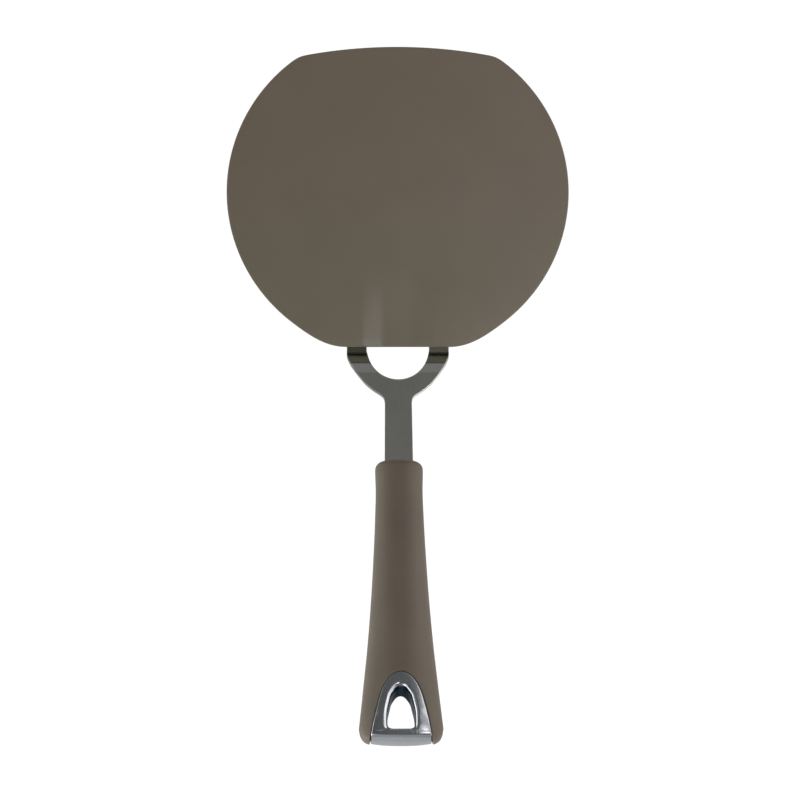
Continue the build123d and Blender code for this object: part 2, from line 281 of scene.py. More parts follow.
def steel_material(name="satin_steel", base=(0.60, 0.595, 0.57), rough=(0.09, 0.13)):
    m, nt, b = new_material(name)
    b.inputs["Metallic"].default_value = 1.0
    v = coords(nt)
    cloud = noise(nt, v, 60.0, 3.0, 0.55)
    col = ramp(nt, cloud, [(0.3, scaled(base, 0.96)), (0.7, scaled(base, 1.03))])
    nt.links.new(col, b.inputs["Base Color"])
    brushed = noise(nt, coords(nt, (2600, 90, 90)), 1.0, 2.0, 0.6)
    nt.links.new(map_range(nt, brushed, 0.3, 0.7, rough[0], rough[1]), b.inputs["Roughness"])
    nt.links.new(bump(nt, brushed, 0.05, 0.00002), b.inputs["Normal"])
    return m


def grip_material():
    m, nt, b = new_material("soft_touch_elastomer")
    base = (0.114, 0.0925, 0.0680)
    v = coords(nt)
    cloud = noise(nt, v, 55.0, 3.0, 0.6)
    col = ramp(nt, cloud, [(0.30, scaled(base, 0.95)), (0.70, scaled(base, 1.05))])
    # painted shade: the base colour is darker along the crest of the handle and a shade lighter beside it
    sep = nt.nodes.new("ShaderNodeSeparateXYZ")
    nt.links.new(v, sep.inputs["Vector"])
    crest_painted_shade = ramp(nt, map_range(nt, sep.outputs["X"], -0.0125, 0.0125),
                 [(0.06, (1.0, 1.0, 1.0)), (0.18, (1.03, 1.03, 1.03)), (0.42, (0.87, 0.815, 0.82)),
                  (0.58, (0.87, 0.815, 0.82)), (0.82, (1.01, 1.0, 1.0)), (0.94, (1.0, 1.0, 1.0))])
    nt.links.new(product(nt, col, crest_painted_shade), b.inputs["Base Color"])
    r = noise(nt, v, 500.0, 2.0, 0.6)
    nt.links.new(map_range(nt, r, 0.3, 0.7, 0.52, 0.60), b.inputs["Roughness"])
    fine = noise(nt, v, 2300.0, 3.0, 0.6)
    nt.links.new(bump(nt, fine, 0.22, 0.00012), b.inputs["Normal"])
    b.inputs["IOR"].default_value = 1.47
    b.inputs["Sheen Weight"].default_value = 0.10
    b.inputs["Sheen Roughness"].default_value = 0.5
    return m


def loop_material(name, base, rough, edge=(1.0, 1.0, 1.0)):
    m, nt, b = new_material(name)
    b.inputs["Metallic"].default_value = 1.0
    v = coords(nt)
    cloud = noise(nt, v, 90.0, 3.0, 0.55)
    col = ramp(nt, cloud, [(0.3, scaled(base, 0.95)), (0.7, scaled(base, 1.04))])
    nt.links.new(col, b.inputs["Base Color"])
    b.inputs["Specular Tint"].default_value = (*edge, 1)
    streak = noise(nt, coords(nt, (900, 120, 900), (0, 0, math.radians(38))), 1.0, 3.0, 0.65)
    nt.links.new(map_range(nt, streak, 0.3, 0.7, rough[0], rough[1]), b.inputs["Roughness"])
    nt.links.new(bump(nt, streak, 0.02, 0.00001), b.inputs["Normal"])
    return m


def core_material():
    m, nt, b = new_material("moulded_core_plastic")
    base = (0.055, 0.050, 0.045)
    v = coords(nt)
    col = ramp(nt, noise(nt, v, 70.0, 3.0, 0.5), [(0.3, scaled(base, 0.93)), (0.7, scaled(base, 1.07))])
    nt.links.new(col, b.inputs["Base Color"])
    nt.links.new(map_range(nt, noise(nt, v, 600.0), 0.3, 0.7, 0.5, 0.6), b.inputs["Roughness"])
    nt.links.new(bump(nt, noise(nt, v, 1500.0), 0.12, 0.00008), b.inputs["Normal"])
    return m


def floor_material():
    m, nt, b = new_material("pale_floor")
    v = coords(nt)
    col = ramp(nt, noise(nt, v, 3.0, 2.0), [(0.3, (0.118, 0.118, 0.118)), (0.7, (0.122, 0.122, 0.122))])
    nt.links.new(col, b.inputs["Base Color"])
    b.inputs["Roughness"].default_value = 1.0
    b.inputs["Specular IOR Level"].default_value = 0.0
    b.inputs["Emission Color"].default_value = (1, 1, 1, 1)
    b.inputs["Emission Strength"].default_value = 0.95
    return m


def tone_material():
    m, nt, b = new_material("floor_tone")
    v = coords(nt)
    col = ramp(nt, noise(nt, v, 3.0, 2.0), [(0.3, (0.72, 0.72, 0.715)), (0.7, (0.745, 0.745, 0.74))])
    nt.links.new(col, b.inputs["Base Color"])
    b.inputs["Roughness"].default_value = 1.0
    b.inputs["Specular IOR Level"].default_value = 0.0
    return m


MAT_NYLON = nylon_material()
MAT_STEEL = steel_material()
MAT_GRIP = grip_material()
MAT_LOOP = loop_material("satin_cast_metal", (0.388, 0.409, 0.440), (0.16, 0.21))
# painted shade: a much darker metal for the walls of the hanging hole
MAT_BORE_SHADE = loop_material("bore_painted_shade", (0.088, 0.096, 0.104), (0.24, 0.32), (0.25, 0.27, 0.30))
MAT_CORE = core_material()
MAT_STEEL_EDGE = steel_material("sheared_steel_edge", (0.46, 0.455, 0.44), (0.26, 0.34))
# painted shade: near-black steel for the fork's tight inner bend
MAT_BEND_SHADE = steel_material("inner_bend_painted_shade", (0.066, 0.066, 0.056), (0.26, 0.34))
# painted reflection: darker, browner steel for the blade reflected in the steep part behind the bend
MAT_BLADE_REFLECTION = steel_material("steel_painted_blade_reflection", (0.450, 0.452, 0.405), (0.10, 0.14))
# painted shade: the flat tabs are darker than the plain steel, the left one much more than the right
MAT_TAB_L_SHADE = steel_material("tab_steel_left_painted_shade", (0.234, 0.238, 0.193))
MAT_TAB_R_SHADE = steel_material("tab_steel_right_painted_shade", (0.398, 0.378, 0.317))
# painted shade on the left sheared outer walls, painted highlight on the right ones
MAT_WALL_L_SHADE = steel_material("sheared_wall_left_painted_shade", (0.24, 0.235, 0.22), (0.26, 0.34))
MAT_WALL_R_HIGHLIGHT = steel_material("sheared_wall_right_painted_highlight", (0.66, 0.655, 0.65), (0.26, 0.34))
# painted highlight: a lighter metal for the rim behind the hanging hole's end
MAT_RIM_HIGHLIGHT = loop_material("rim_painted_highlight", (0.62, 0.65, 0.69), (0.22, 0.28))
MAT_RIVET = steel_material("rivet_steel", (0.60, 0.59, 0.57), (0.22, 0.30))


# ---------------------------------------------------------------------------
# blade
# ---------------------------------------------------------------------------
thick_y = pchip([-80, -66, -52, -38, -22, 0, 30, 56, 76], [4.42, 4.25, 3.75, 2.95, 2.25, 1.80, 1.40, 1.02, 0.74])
side_y = pchip([-80, -66, -52, -38, -22, 0, 30, 56, 76], [2.5, 2.35, 2.2, 2.0, 1.85, 1.65, 1.35, 1.0, 0.74])
hollow_y = pchip([-80, -70, -62, -54, -46, -38, -31, -24, 0], [1.5, 1.47, 1.32, 0.96, 0.54, 0.20, 0.045, 0.0, 0.0])


def blade_top(x, y):
    a = np.abs(x)
    k = smooth_step(1 - (a - 24) / 56.0)
    z = side_y(y) + (thick_y(y) - side_y(y)) * k
    q = smooth_step((TROUGH_HALF - a) / (TROUGH_HALF - TROUGH_FLAT))
    z = z - hollow_y(y) * q
    d = np.clip((y - REAR_Y) / 5.0, 0, 1)
    return z - 0.28 * (1 - d) ** 2


def blade_outline(n):
    """Closed outline, counter-clockwise, symmetric about x = 0."""
    th = 0.9
    e0 = np.array([BLADE_A * math.cos(th), -BLADE_B * math.sin(th)])
    tg = np.array([-BLADE_A * math.sin(th), -BLADE_B * math.cos(th)])
    tg /= np.linalg.norm(tg)
    e1 = e0 + 12.93 * tg
    e2, e3 = np.array([REAR_HALF + 9.27, REAR_Y]), np.array([REAR_HALF, REAR_Y])
    t = np.linspace(0, 1, 60)[:, None]
    bez = (1 - t) ** 3 * e0 + 3 * (1 - t) ** 2 * t * e1 + 3 * (1 - t) * t * t * e2 + t ** 3 * e3
    w = np.linspace(-th, 1.3, 900)
    ell = np.stack([BLADE_A * np.cos(w), BLADE_B * np.sin(w)], axis=1)
    cy = FRONT_Y - FRONT_R
    inside = np.hypot(ell[:, 0], ell[:, 1] - cy) <= FRONT_R
    last = np.argmin(inside)
    ell = ell[:last]
    phi1 = math.atan2(ell[-1, 0], ell[-1, 1] - cy)
    phi = np.linspace(phi1, 0, 120)
    arc = np.stack([FRONT_R * np.sin(phi), cy + FRONT_R * np.cos(phi)], axis=1)
    half = np.concatenate([[[0, REAR_Y]], bez[::-1], ell[1:], arc[1:]])
    full = np.concatenate([half, (half * [-1, 1])[::-1][1:-1]])
    closed = np.concatenate([full, full[:1]])
    m = 4800
    dense = resample(closed, m + 1)[:-1]
    # round the two front corners
    sig = 2.3 / (np.linalg.norm(dense[1] - dense[0]))
    r = int(4 * sig)
    ker = np.exp(-0.5 * (np.arange(-r, r + 1) / sig) ** 2)
    ker /= ker.sum()
    soft = np.stack([np.convolve(np.concatenate([dense[-r:, k], dense[:, k], dense[:r, k]]), ker, "valid") for k in (0, 1)], axis=1)
    cx, cyy = abs(ell[-1, 0]), ell[-1, 1]
    d = np.hypot(np.abs(dense[:, 0]) - cx, dense[:, 1] - cyy)
    wgt = smooth_step((12.0 - d) / 6.0)[:, None]
    dense = dense * (1 - wgt) + soft * wgt
    out = resample(np.concatenate([dense, dense[:1]]), n + 1)[:-1]
    return out


def outward(c):
    """Unit outward normals of a closed counter-clockwise line."""
    d = np.roll(c, -1, axis=0) - np.roll(c, 1, axis=0)
    n = np.stack([d[:, 1], -d[:, 0]], axis=1)
    return n / np.linalg.norm(n, axis=1)[:, None]


def build_blade():
    n = 900
    c = blade_outline(n)
    nrm = outward(c)
    rings = []
    rb = 0.22
    # underside, from the middle to the rim
    for lam in (0.0, 0.15, 0.35, 0.55, 0.75, 0.90, 0.97):
        p = (c - nrm * rb) * lam
        rings.append(np.column_stack([p, np.zeros(n)]))
    for a in np.linspace(0, math.pi / 2, 5):
        p = c - nrm * (rb * (1 - math.sin(a)))
        rings.append(np.column_stack([p, np.full(n, rb * (1 - math.cos(a)))]))
    # rim and the rounding into the upper face
    rt = 0.30
    p_in = c - nrm * rt
    z_in = blade_top(p_in[:, 0], p_in[:, 1])
    for f in (0.35, 0.7):
        rings.append(np.column_stack([c, rb + (z_in - rt - rb) * f]))
    for a in np.linspace(0, math.pi / 2, 6):
        p = c - nrm * (rt * (1 - math.cos(a)))
        rings.append(np.column_stack([p, z_in - rt * (1 - math.sin(a))]))
    for d in (0.7, 1.3, 2.2):
        p = c - nrm * (rt + d)
        rings.append(np.column_stack([p, blade_top(p[:, 0], p[:, 1])]))
    base = c - nrm * (rt + 2.2)
    for lam in np.linspace(0.985, 0.0, 84):
        p = base * lam
        rings.append(np.column_stack([p, blade_top(p[:, 0], p[:, 1])]))
    verts = np.concatenate(rings)
    faces = grid_faces(len(rings), n, wrap_v=True)
    return make_object("nylon_blade", [(verts, faces)], MAT_NYLON)


# ---------------------------------------------------------------------------
# fork, stem and tang: one bent plate
# ---------------------------------------------------------------------------
def plate_profile():
    """y, z and slope of the plate's middle, from the tabs to the tang's end."""
    pts = [(-50.0, TAB_Z, 0.0), (BEND1_Y, TAB_Z, 0.0)]
    for a in np.linspace(0, STEEP, 16)[1:]:
        pts.append((BEND1_Y - BEND1_R * math.sin(a), TAB_Z + BEND1_R * (1 - math.cos(a)), a))
    y, z, a = pts[-1]
    pts.append((y - STEEP_RUN, z + STEEP_RUN * math.tan(STEEP), STEEP))
    y, z, a = pts[-1]
    for a in np.linspace(STEEP, BETA, 16)[1:]:
        pts.append((y - BEND2_R * (math.sin(STEEP) - math.sin(a)), z + BEND2_R * (math.cos(a) - math.cos(STEEP)), a))
    y, z, a = pts[-1]
    pts.append((y - 170, z + 170 * math.tan(BETA), BETA))
    return np.array(pts)


PROFILE = plate_profile()
HANDLE_Z = float(np.interp(-HANDLE_Y, -PROFILE[:, 0], PROFILE[:, 1]))


def mid_z(y):
    return np.interp(-y, -PROFILE[:, 0], PROFILE[:, 1])


def slope(y):
    return np.interp(-y, -PROFILE[:, 0], PROFILE[:, 2])


def on_handle(x, t, n):
    """Points of the handle: x across, t along it, n above its axis."""
    x, t, n = np.broadcast_arrays(np.asarray(x, float), t, n)
    return np.stack([x, HANDLE_Y - t * CB + n * SB, HANDLE_Z + t * SB + n * CB], axis=-1)


EDGE_R = 0.18


def edge_shift(y):
    """How far the lower edge of the plate's wall stands out to the rear of its middle."""
    a = slope(y)
    return PLATE_H * np.sin(a) - EDGE_R * (np.sin(a) + np.cos(a) - 1)


def build_fork():
    tang_y = HANDLE_Y - 97.0 * CB
    # what shows of the right half from above: outer side, then the half ring
    seen_o = [(24.48, -76.0), (24.48, -77.6), (24.34, -79.3), (23.84, -80.95), (23.15, -82.40), (22.40, -83.85),
              (21.45, -85.29), (20.45, -86.73), (19.39, -88.16), (18.26, -89.60), (17.06, -91.03), (15.76, -92.47),
              (14.20, -93.90), (12.36, -95.33), (10.26, -96.76), (8.22, -98.10), (7.15, -99.15), (6.66, -100.30),
              (6.50, -101.80)]
    seen_o = spline(seen_o, 500, (0, -1), (-0.02, -1))
    o_side = seen_o.copy()
    d = np.gradient(seen_o, axis=0)
    d /= np.linalg.norm(d, axis=1)[:, None]
    rear = np.clip(np.abs(d[:, 0]) * 1.6, 0, 1)
    o_side[:, 1] += edge_shift(seen_o[:, 1]) * rear
    o_side = resample(o_side, 110)
    o_tab = resample([(24.48, -52.6), (24.48, o_side[0, 1])], 30)
    o_stem = resample([tuple(o_side[-1]), (6.50, -104.0), (6.78, HANDLE_Y), (5.5, HANDLE_Y - 55), (5.5, tang_y)], 130)
    outer = np.concatenate([o_tab, o_side[1:], o_stem[1:]])
    i_tab = resample([(14.9, -52.6), (14.9, RING_Y)], 30)
    ang = np.linspace(0, math.pi / 2, 110)
    i_arc = np.stack([RING_R * np.cos(ang), RING_Y - RING_R * np.sin(ang)], axis=1)
    i_arc[:, 1] -= edge_shift(i_arc[:, 1]) * np.sin(ang) ** 0.7
    i_axis = resample([(0, i_arc[-1, 1]), (0, tang_y)], 130)
    inner = np.concatenate([i_tab, i_arc[1:], i_axis[1:]])
    n_ring = len(i_tab) + len(i_arc) - 1
    n = len(inner)

    def side_normal(line, left):
        t = np.gradient(line, axis=0)
        t /= np.linalg.norm(t, axis=1)[:, None] + 1e-12
        k = 1 if left else -1
        return np.stack([-t[:, 1] * k, t[:, 0] * k], axis=1)

    r = EDGE_R
    on = side_normal(outer, True)          # heading to the rear, +x is on the left
    inn = side_normal(inner[:n_ring], False)
    inn[-1] = (0, 1)

    def place(xy, d):
        a = slope(xy[:, 1])
        return np.column_stack([xy[:, 0], xy[:, 1] + d * np.sin(a), mid_z(xy[:, 1]) + d * np.cos(a)])

    def inset_inner(dist):
        p = inner.copy()
        p[:n_ring] -= inn * dist
        p[n_ring - 1, 0] = 0
        k = np.arange(1, n - n_ring + 1)
        y0 = p[n_ring - 1, 1]
        p[n_ring:, 1] = y0 + (inner[n_ring:, 1] - inner[n_ring - 1, 1]) * (tang_y - y0) / (tang_y - inner[n_ring - 1, 1])
        return p

    flats, walls = [], []
    ii, oo = inset_inner(r), outer - on * r
    nv = 17
    for sgn in (1, -1):
        rows = []
        for v in np.linspace(0, 1, nv):
            rows.append(place(ii * (1 - v) + oo * v, sgn * PLATE_H))
        g = np.stack(rows, axis=1).reshape(-1, 3)
        flats.append((g, grid_faces(n, nv)))
    prof = []
    for a in np.linspace(0, math.pi / 2, 6):
        prof.append((r * (1 - math.sin(a)), PLATE_H - r * (1 - math.cos(a))))
    prof = prof + [(0.0, 0.0)] + [(d, -h) for d, h in prof[::-1]]
    strip = np.stack([place(outer - on * d, h) for d, h in prof], axis=1).reshape(-1, 3)
    walls.append((strip, grid_faces(n, len(prof))))
    strip = np.stack([place(inset_inner(d), h)[:n_ring] for d, h in prof], axis=1).reshape(-1, 3)
    walls.append((strip, grid_faces(n_ring, len(prof))))
    chunks = flats + walls
    mirrored = [(v * [-1, 1, 1], [tuple(reversed(f)) for f in fs]) for v, fs in chunks]
    ob = make_object("steel_fork", chunks + mirrored, MAT_STEEL, merge=6e-6, close=True)
    # the sheared walls are duller than the faces. Painted shade: the tight inner bend is made near black; further
    # painted light and shade on the fork follow below
    ob.data.materials.append(MAT_STEEL_EDGE)
    ob.data.materials.append(MAT_BEND_SHADE)
    for mat in (MAT_BLADE_REFLECTION, MAT_TAB_L_SHADE, MAT_TAB_R_SHADE, MAT_WALL_L_SHADE, MAT_WALL_R_HIGHLIGHT):
        ob.data.materials.append(mat)
    me = ob.data
    for p in me.polygons:
        c = p.center
        a = float(slope(c.y * 1000))
        nn = p.normal
        flat = abs(nn.y * math.sin(a) + nn.z * math.cos(a))
        p.material_index = 1 if flat < 0.80 else 0
        # painted shade in the tight inner bend
        if -0.0785 < c.y < -0.0768 and nn.z > 0.3 and p.material_index == 0:
            p.material_index = 2
        # painted reflection: the steep steel just behind the bend is darker and browner, for the blade it reflects
        elif -0.0811 < c.y <= -0.0785 and nn.z > 0.3 and p.material_index == 0:
            p.material_index = 3
        # painted shade on the flat tabs, deeper on the left than on the right
        elif c.y >= -0.0768 and nn.z > 0.9 and p.material_index == 0:
            p.material_index = 4 if c.x < 0 else 5
        # painted shade on the left outer walls, painted highlight on the right outer walls
        elif p.material_index == 1 and c.x * nn.x > 0 and abs(nn.x) > 0.2 and c.y > -0.100:
            p.material_index = 6 if c.x < 0 else 7
    return ob


# ---------------------------------------------------------------------------
# handle: outer form shared by the grip and the metal loop
# ---------------------------------------------------------------------------
st = np.array(STATIONS)
half_w = pchip(st[:, 0], st[:, 1])
even_t = pchip(st[:, 0], st[:, 2])


def half_t(t):
    d = np.asarray(t, float) - BEND_T
    q = np.clip(d / BEND_RUN, 0, 1)
    return even_t(t) - BEND_SLOPE * (BEND_RUN * (q ** 3 - q ** 4 / 2) + np.maximum(d - BEND_RUN, 0))


power = pchip(st[:, 0], st[:, 3])


def skin_n(x, a, b, p):
    """Height of the oval section above its middle at x."""
    q = np.clip(np.abs(x) / a, 0, 1)
    return b * (1 - q ** p) ** (1 / p)


def loop_half():
    """Half outline (x, t) of the loop's A shape, from its apex."""
    pts = [(0, LOOP_APEX)] + [(x, t) for t, x in LOOP_SIDE]
    return spline(pts, 900, (1, 0), (0.2, 1))


def offset_line(line, d):
    """Open line moved d to its left."""
    g = np.gradient(line, axis=0)
    g /= np.linalg.norm(g, axis=1)[:, None]
    return line + np.stack([g[:, 1], -g[:, 0]], axis=1) * d


wing_w = pchip([-3, 120, 126, 130, 132.9, 134.8, 136.5, 137.75, 138.5, 138.95, 139.2, 139.33],
               [99, 99, 99, 99, 19.48, 19.15, 18.55, 17.75, 16.9, 16.1, 15.2, 14.45])


def grip_ab(t):
    """Half width and half thickness of the grip, rounded at both ends."""
    t = np.asarray(t, float)
    a, b = half_w(t), half_t(t)
    R = 4.0
    d = np.clip(R - t, 0, R)
    drop = R - np.sqrt(np.maximum(R * R - d * d, 0))
    a, b = a - drop, b - drop
    a = np.where(t > 132.5, np.minimum(a, wing_w(t)), a)
    R2 = 3.2
    d = np.clip(t - (139.6 - R2), 0, R2)
    b = b - (R2 - np.sqrt(np.maximum(R2 * R2 - d * d, 0))) * 0.62
    return a, b


def build_grip():
    ns = 57
    lip = 0.38
    line = loop_half()
    rim = offset_line(line, lip)
    keep = rim[:, 1] < 139.25
    rim_k, line_k = rim[keep], line[keep]
    # rows of the closed part, in front of the loop
    front = np.concatenate([4.0 * (1 - np.cos(np.linspace(0.0, math.pi / 2, 9))), np.linspace(4.8, LOOP_APEX - lip, 90)[:-1]])
    chunks = []
    wing_rows = []
    idx = np.unique(np.round((np.linspace(0, 1, 110) ** 1.0) * (len(rim_k) - 1)).astype(int))
    rim_s, line_s = rim_k[idx], line_k[idx]

    def row(t, x0):
        a, b = grip_ab(t)
        a, b = float(a), float(b)
        p = float(power(t))
        q = min(1.0, max(0.0, x0 / a))
        w0 = math.acos(q ** (p / 2)) if q > 0 else math.pi / 2
        w = np.linspace(w0, -w0, ns)
        cw, sw = np.cos(w), np.sin(w)
        x = a * np.abs(cw) ** (2 / p)
        n = b * np.abs(sw) ** (2 / p) * np.sign(sw)
        x[0] = x[-1] = x0
        return on_handle(x, t, n)

    rows = [row(t, 0.0) for t in front] + [row(p[1], max(p[0], 0.0)) for p in rim_s]
    g = np.concatenate(rows)
    chunks.append((g, grid_faces(len(rows), ns)))
    # rounded lip along the loop and the wall that faces the metal
    steps = [(lip, 0.0), (lip * 0.5, lip * 0.134), (lip * 0.134, lip * 0.5), (0.0, lip), (0.0, 2.0)]
    k = len(rim_s)
    off = rim_s - line_s
    a_r, b_r = grip_ab(rim_s[:, 1])
    n_rim = skin_n(rim_s[:, 0], a_r, b_r, power(rim_s[:, 1]))
    depth_ok = np.clip(n_rim, 0, None)
    cols_top = []
    for d, h in steps:
        p = line_s + off * (d / lip)
        p[:, 0] = np.maximum(p[:, 0], 0)
        hh = np.minimum(h, depth_ok)
        cols_top.append((p, n_rim - hh))
    cols = [on_handle(p[:, 0], p[:, 1], nn) for p, nn in cols_top]
    cols += [on_handle(p[:, 0], p[:, 1], nn * f) for f in (0.5, 0.0, -0.5) for p, nn in cols_top[-1:]]
    cols += [on_handle(p[:, 0], p[:, 1], -nn) for p, nn in cols_top[::-1]]
    strip = np.stack(cols, axis=1)
    chunks.append((strip.reshape(-1, 3), grid_faces(k, len(cols))))
    # front face
    first = rows[0]
    cen = on_handle(0.0, 0.0, 0.0)
    ring = []
    for f, dt in ((1.0, 0.0), (0.9, -0.0), (0.6, 0.25), (0.3, 0.3), (0.0, 0.3)):
        p = cen + (first - cen) * f
        p = p + np.array([0, -CB, SB]) * dt
        ring.append(p)
    chunks.append((np.concatenate(ring), grid_faces(len(ring), ns)))
    mirrored = [(v * [-1, 1, 1], [tuple(reversed(f)) for f in fs]) for v, fs in chunks]
    return make_object("soft_grip_skin", chunks + mirrored, MAT_GRIP, merge=8e-6, close=True)


# ---------------------------------------------------------------------------
# metal loop
# ---------------------------------------------------------------------------
def end_t(x):
    return HANDLE_LEN - END_R + np.sqrt(END_R ** 2 - np.asarray(x, float) ** 2)


def build_loop():
    gap = 0.25
    side = offset_line(loop_half(), -gap)
    side[:, 0] = np.maximum(side[:, 0], 0)
    side = side[side[:, 1] <= end_t(side[:, 0])]
    xe = np.linspace(side[-1, 0], 0, 160)
    bottom = np.stack([xe, end_t(xe)], axis=1)
    outer = np.concatenate([side, bottom[1:]])
    # soften the two rear corners in plan
    dense = resample(outer, 1600)
    step = np.linalg.norm(dense[1] - dense[0])
    sig = 0.12 / step
    r = int(4 * sig)
    ker = np.exp(-0.5 * (np.arange(-r, r + 1) / sig) ** 2)
    ker /= ker.sum()
    soft = dense.copy()
    soft[r:-r] = np.stack([np.convolve(dense[:, k], ker, "valid") for k in (0, 1)], axis=1)
    d = np.hypot(dense[:, 0] - side[-1, 0], dense[:, 1] - side[-1, 1])
    w = smooth_step((1.2 - d) / 0.6)[:, None]
    outer = dense * (1 - w) + soft * w
    ci = int(np.argmin(d))

    pts = [(0, HOLE_APEX)] + [(x, t) for t, x in HOLE_SIDE]
    hs = spline(pts, 400, (1, 0), (0, 1))
    a = np.linspace(0, math.pi / 2, 60)
    rc = 2.5
    cx, ct = HOLE_SIDE[-1][1] - rc, HOLE_END - rc
    corner = np.stack([cx + rc * np.cos(a), ct + rc * np.sin(a)], axis=1)
    hole = np.concatenate([hs, corner, [[0, HOLE_END]]])
    hole = resample(hole, 1600)
    hi = int(np.argmin(np.hypot(hole[:, 0] - (cx + rc * 0.707), hole[:, 1] - (ct + rc * 0.707))))

    n1, n2 = 96, 48

    def pick(line, k):
        f = np.concatenate([resample(line[:k + 1], n1), resample(line[k:], n2)[1:]])
        return f
    O, I = pick(outer, ci), pick(hole, hi)
    full_o = np.concatenate([O, (O * [-1, 1])[::-1][1:-1]])
    full_i = np.concatenate([I, (I * [-1, 1])[::-1][1:-1]])
    m = len(full_o)

    def out_normal(c):
        d = np.roll(c, -1, axis=0) - np.roll(c, 1, axis=0)
        nn = np.stack([d[:, 1], -d[:, 0]], axis=1)
        nn /= np.linalg.norm(nn, axis=1)[:, None]
        cen = c.mean(axis=0)
        if ((c - cen) * nn).sum() < 0:
            nn = -nn
        return nn
    no, ni = out_normal(full_o), out_normal(full_i)

    # the rim of the hole is rounder along its sides than at its straight end
    r_in = (2.1 - 1.1 * smooth_step((ni[:, 1] - 0.55) / 0.4))[:, None]
    # small rounding along the sides, a wide one over the end
    at_end = smooth_step((np.abs(no[:, 1]) * (no[:, 1] > 0) - 0.35) / 0.5)
    r_side = 0.42 * (1 - at_end)
    reach = 0.42 + (1.90 - 0.42) * at_end
    crown = 1.25 * at_end

    def top(p):
        """Upper face, rounded off into the bulging end."""
        r, lo, hi = EDGE_ROUND, math.radians(23.0), math.radians(68.0)
        length = r * (math.sin(hi) - math.sin(lo))
        d = np.clip(end_t(p[:, 0]) - p[:, 1], 0, length)
        phi = np.arcsin(math.sin(hi) - d / r)
        fall = r * (math.cos(lo) - np.cos(phi)) - math.tan(lo) * (length - d)
        return skin_n(p[:, 0], half_w(p[:, 1]), half_t(p[:, 1]), power(p[:, 1])) - fall

    def quarter(n):
        return np.linspace(0, math.pi / 2, n)

    cols = []

    def add(p, nn):
        lean = smooth_step((p[:, 1] - 134.5) / 4.0)
        cols.append(on_handle(p[:, 0], p[:, 1] + 0.045 * np.minimum(nn, 0) ** 2 * lean, nn))

    half_cols = []
    # hole wall up to its rim, then over the upper face to the outer edge
    pin = full_i + ni * r_in
    r_rim = r_in[:, 0]

    def over(p):
        """Height over the hole's rim zone: the skin at the rim, with the fall of the end."""
        return skin_n(pin[:, 0], half_w(pin[:, 1]), half_t(pin[:, 1]), power(pin[:, 1])) - (skin_n(p[:, 0], half_w(p[:, 1]), half_t(p[:, 1]), power(p[:, 1])) - top(p))

    for f in (0.0, 0.3, 0.6, 0.85):
        p = full_i
        half_cols.append((p, lambda p=p, f=f: (over(p) - r_rim) * f))
    for ph in quarter(9):
        p = full_i + ni * (r_in * (1 - math.cos(ph)))
        half_cols.append((p, lambda p=p, ph=ph: over(p) - r_rim * (1 - math.sin(ph))))
    pout = full_o - no * reach[:, None]
    for f in np.linspace(0, 1, 13)[1:-1]:
        p = pin * (1 - f) + pout * f
        half_cols.append((p, lambda p=p: top(p)))
    for ph in quarter(12):
        p = full_o - no * (reach * (1 - math.sin(ph)))[:, None]
        half_cols.append((p, lambda p=p, ph=ph: top(p) - r_side * (1 - math.cos(ph))))
    for f in (0.85, 0.6, 0.3, 0.0):
        p = full_o + no * (crown * (1 - f * f))[:, None]
        half_cols.append((p, lambda f=f: (top(full_o) - r_side) * f))
    ups = [(p, h()) for p, h in half_cols]
    seq = ups + [(p, -h) for p, h in ups[-2:0:-1]]
    for p, h in seq:
        add(p, h)
    g = np.stack(cols, axis=1).reshape(-1, 3)
    chunks = [(g, grid_faces(m, len(cols), wrap_u=True, wrap_v=True))]
    # two cheeks of the hidden tongue that holds the tang
    for sgn in (1, -1):
        x0, t0, t1, n0, n1_ = 5.45, 80.0, 108.5, 1.02 * sgn, 3.5 * sgn
        c = 0.4
        loops = []
        for (ix, inn_) in ((c, n0), (0, n0 + c * sgn), (0, n1_ - c * sgn), (c, n1_)):
            pts4 = [(-x0 + ix, t0 + ix), (x0 - ix, t0 + ix), (x0 - ix, t1), (-x0 + ix, t1)]
            loops.append(np.array([on_handle(x, t, inn_) for x, t in pts4]))
        v = np.concatenate(loops)
        f = [(0, 1, 2, 3), (12, 15, 14, 13)]
        for k in range(3):
            for j in range(4):
                j2 = (j + 1) % 4
                f.append((4 * k + j, 4 * k + j2, 4 * (k + 1) + j2, 4 * (k + 1) + j))
        chunks.append((v, f))
    ob = make_object("metal_loop", chunks, MAT_LOOP, merge=1e-6)
    # painted shade: the walls of the hanging hole get a much darker metal
    ob.data.materials.append(MAT_BORE_SHADE)
    ob.data.materials.append(MAT_RIM_HIGHLIGHT)
    hole_line = full_i
    for p in ob.data.polygons:
        c = p.center * 1000
        t = (HANDLE_Y - c.y) * CB + (c.z - HANDLE_Z) * SB
        n = (c.y - HANDLE_Y) * SB + (c.z - HANDLE_Z) * CB
        near = np.hypot(hole_line[:, 0] - c.x, hole_line[:, 1] - t).min()
        p.material_index = 1 if near < 0.12 and abs(n) < 7.6 else 0
        # painted highlight: a lighter metal on the strip of the upper face just behind the hole's end
        if 0.12 <= near < 0.95 and n > 3 and t > HOLE_END + 0.05 and abs(c.x) < 5.6:
            p.material_index = 2
    return ob


blade_ob = build_blade()
fork_ob = build_fork()
grip_ob = build_grip()
loop_ob = build_loop()

for ob, node, slot_name in ((blade_ob, "blade", "blade_nylon"), (fork_ob, "fork_shank", "shank_steel"),
                            (grip_ob, "soft_grip", "grip_elastomer"), (loop_ob, "end_cap", "loop_metal")):
    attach(ob, "root")
    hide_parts(node)

for node, mat in (("handle_core", MAT_CORE), ("tang_rivets", MAT_RIVET)):
    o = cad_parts[node]
    if not o.material_slots:
        o.data.materials.append(mat)
    for s_ in o.material_slots:
        s_.link = "OBJECT"
        s_.material = mat

